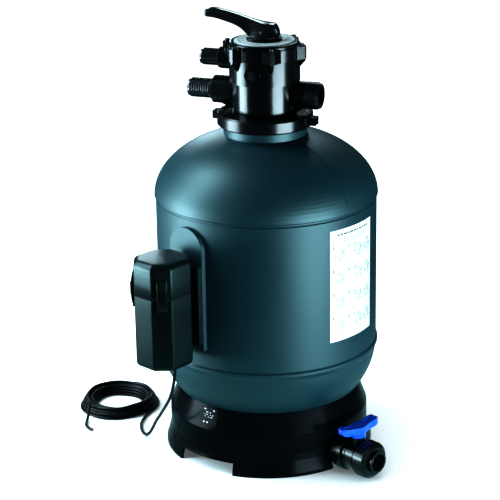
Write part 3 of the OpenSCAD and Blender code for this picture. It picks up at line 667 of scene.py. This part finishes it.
cord_route = [
    (-105, -317, 283), (-105, -317, 276), (-108, -314, 255), (-119, -300, 222),
    (-135, -278, 190), (-155, -251, 160), (-176, -224, 131), (-196, -197, 104),
    (-216, -170, 78), (-236, -142, 48), (-252, -124, 24), (-268, -109, 9),
    (-285, -90, 4), (-299, -68, 4), (-309, -44, 4), (-314, -20, 4), (-316, 8, 4),
]
tail_route = [
    (-465, -6, 29), (-457, -19, 30), (-450, -32, 29), (-446, -43, 24), (-443, -54, 15),
    (-441, -64, 7), (-439, -74, 4), (-436, -83, 4), (-430, -95, 4), (-421, -105, 4),
    (-411, -112, 4), (-405, -114, 4),
]
COIL = Vector((-406, 51, 0))
# angles at which the cord enters and leaves the coil
COIL_FIRST = -8
COIL_LAST = 213
COIL_STEPS = 40
# share of each turn that stays in its lane before it crosses to the next
LANE_HOLD = 0.62
CORD_R = 3.5
CORD_LANES = [(r, z) for z, radii in (
    (3.8, (93.6, 86.6, 79.6, 72.6, 65.6, 58.6)), (10.0, (62.1, 69.1, 76.1, 83.1, 90.1)),
    (16.2, (86.6, 79.6, 72.6, 65.6)), (22.4, (69.1, 76.1, 83.1)), (28.4, (79.6,))) for r in radii]


def coil_points():
    """Wound turns that fill the ring section lane by lane and wander a little on the way."""
    points = []
    turns = len(CORD_LANES)
    count = int(COIL_STEPS * (turns - 1 + (COIL_LAST - COIL_FIRST) / 360.0))
    for i in range(count + 1):
        t = i / COIL_STEPS
        k = min(int(t), turns - 1)
        r, z = CORD_LANES[k]
        next_r, next_z = CORD_LANES[min(k + 1, turns - 1)]
        cross = max(0.0, (min(t - k, 1.0) - LANE_HOLD) / (1 - LANE_HOLD))
        cross = cross * cross * (3 - 2 * cross)
        a = math.radians(COIL_FIRST + 360.0 * t)
        sway = 1.6 * math.sin(3 * a + 0.6) + 1.1 * math.sin(5 * a + 2.0) + 0.5 * math.sin(2.3 * t)
        sway *= min(t / 0.2, 1.0)
        sag = z / 30.0 * (0.9 * math.sin(2 * a + 1.0) + 0.7 * math.sin(7 * a))
        r += (next_r - r) * cross + sway
        points.append(Vector((COIL.x + r * math.cos(a), COIL.y + r * math.sin(a),
                              z + (next_z - z) * cross + sag)))
    return points


def round_line(name, points, radius):
    """Solid round strand through the points."""
    data = bpy.data.curves.new(name, "CURVE")
    data.dimensions = "3D"
    data.bevel_depth = radius * MM
    data.bevel_resolution = 3
    data.use_fill_caps = True
    spline = data.splines.new("POLY")
    spline.points.add(len(points) - 1)
    for p, q in zip(spline.points, points):
        p.co = (*(q * MM), 1)
    obj = bpy.data.objects.new(name, data)
    scene.collection.objects.link(obj)
    return obj


run = catmull([Vector(p) for p in cord_route], 3)
tail = catmull([Vector(p) for p in tail_route], 3)
whole = run + coil_points() + tail
supply = round_line("supply_cord_line", whole, CORD_R)
paint(supply, CORD)
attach(supply, "tank")
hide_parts("supply_cord", "cord_coil", "cord_tail")

# ---------------------------------------------------------------- stage

FLOOR_HALF = 12
GLOW_R = 0.8
GLOW_STEPS = 48
GLOW_Z = -0.002
SOFT_LIGHT = (0.66, 0.9, 1.0)


def lit_surface(name, points, base, emission, strength):
    """Flat face of the stage with a dull surface that gives off some light."""
    mesh = bpy.data.meshes.new(name)
    mesh.from_pydata(points, [], [tuple(range(len(points)))])
    obj = bpy.data.objects.new(name, mesh)
    scene.collection.objects.link(obj)
    mat = bpy.data.materials.new(name)
    mat.use_nodes = True
    shader = mat.node_tree.nodes["Principled BSDF"]
    shader.inputs["Base Color"].default_value = (*base, 1)
    shader.inputs["Roughness"].default_value = 0.9
    shader.inputs["Specular IOR Level"].default_value = 0.0
    shader.inputs["Emission Color"].default_value = (*emission, 1)
    shader.inputs["Emission Strength"].default_value = strength
    mesh.materials.append(mat)
    return obj


def paint_contact_shadow(obj):
    """Painted contact shadow: the surface's own light is dimmed, through ambient occlusion, where
    something stands close to it.
    """
    tree = obj.data.materials[0].node_tree
    shade = tree.nodes.new("ShaderNodeAmbientOcclusion")
    shade.inputs["Distance"].default_value = 0.45
    shade.samples = 8
    level = tree.nodes.new("ShaderNodeMapRange")
    level.inputs["From Min"].default_value = 0.35
    level.inputs["From Max"].default_value = 0.97
    level.inputs["To Min"].default_value = 0.08
    level.inputs["To Max"].default_value = 0.72
    shader = tree.nodes["Principled BSDF"]
    tree.links.new(shade.outputs["AO"], level.inputs["Value"])
    tree.links.new(level.outputs["Result"], shader.inputs["Emission Strength"])


square = [(x * FLOOR_HALF, y * FLOOR_HALF, 0) for x, y in ((-1, -1), (1, -1), (1, 1), (-1, 1))]
floor = lit_surface("floor", square, (0.80, 0.84, 0.84), (1.0, 1.0, 1.0), 0.7)
# painted contact shadow: the floor's glow is dimmed close to the object
paint_contact_shadow(floor)
floor.visible_glossy = False
floor.visible_diffuse = False

# pale glow of the lit floor close to the base, seen only by reflections and soft fill
disc = [(GLOW_R * math.cos(2 * math.pi * i / GLOW_STEPS),
         GLOW_R * math.sin(2 * math.pi * i / GLOW_STEPS), GLOW_Z) for i in range(GLOW_STEPS)]
glow = lit_surface("floor_glow", disc, (0, 0, 0), (0.5, 0.95, 1.0), 0.6)
glow.visible_camera = False
glow.visible_shadow = False

world = bpy.data.worlds.new("studio")
world.use_nodes = True
sky = world.node_tree.nodes["Background"]
sky.inputs["Color"].default_value = (0.75, 0.93, 1.0, 1)
sky.inputs["Strength"].default_value = 0.05
scene.world = world
scene.view_settings.view_transform = "Standard"
scene.view_settings.look = "High Contrast"


def softbox(name, alpha, distance, height, target_z, width, tall, power):
    """Soft light at angle alpha round the object from the camera's side, positive to its right."""
    a = math.radians(alpha + CAMERA_HEADING)
    spot = Vector((distance * math.sin(a), -distance * math.cos(a), height))
    light = bpy.data.lights.new(name, "AREA")
    light.shape = "RECTANGLE"
    light.size, light.size_y = width, tall
    light.energy = power
    light.color = SOFT_LIGHT
    obj = bpy.data.objects.new(name, light)
    scene.collection.objects.link(obj)
    obj.location = spot
    obj.rotation_euler = (Vector((0, 0, target_z)) - spot).to_track_quat("-Z", "Y").to_euler()
    obj.visible_camera = False


# name, angle, distance, height, height aimed at, width, tallness, power
softbox("left_box", -88, 2.1, 1.25, 0.72, 0.9, 2.1, 60)
softbox("left_high", -106, 1.8, 2.7, 0.7, 0.9, 0.9, 42)
softbox("left_low", -84, 2.1, 0.25, 0.3, 1.2, 0.5, 46)
softbox("right_box", 50, 2.3, 0.72, 0.55, 1.2, 1.1, 12)
softbox("right_low", 46, 2.3, 0.22, 0.3, 1.6, 0.44, 66)
softbox("back_card", 169, 3.2, 2.55, 0.95, 1.0, 0.5, 16)
softbox("box_card", -168, 3.0, 1.35, 0.5, 0.6, 0.45, 12)
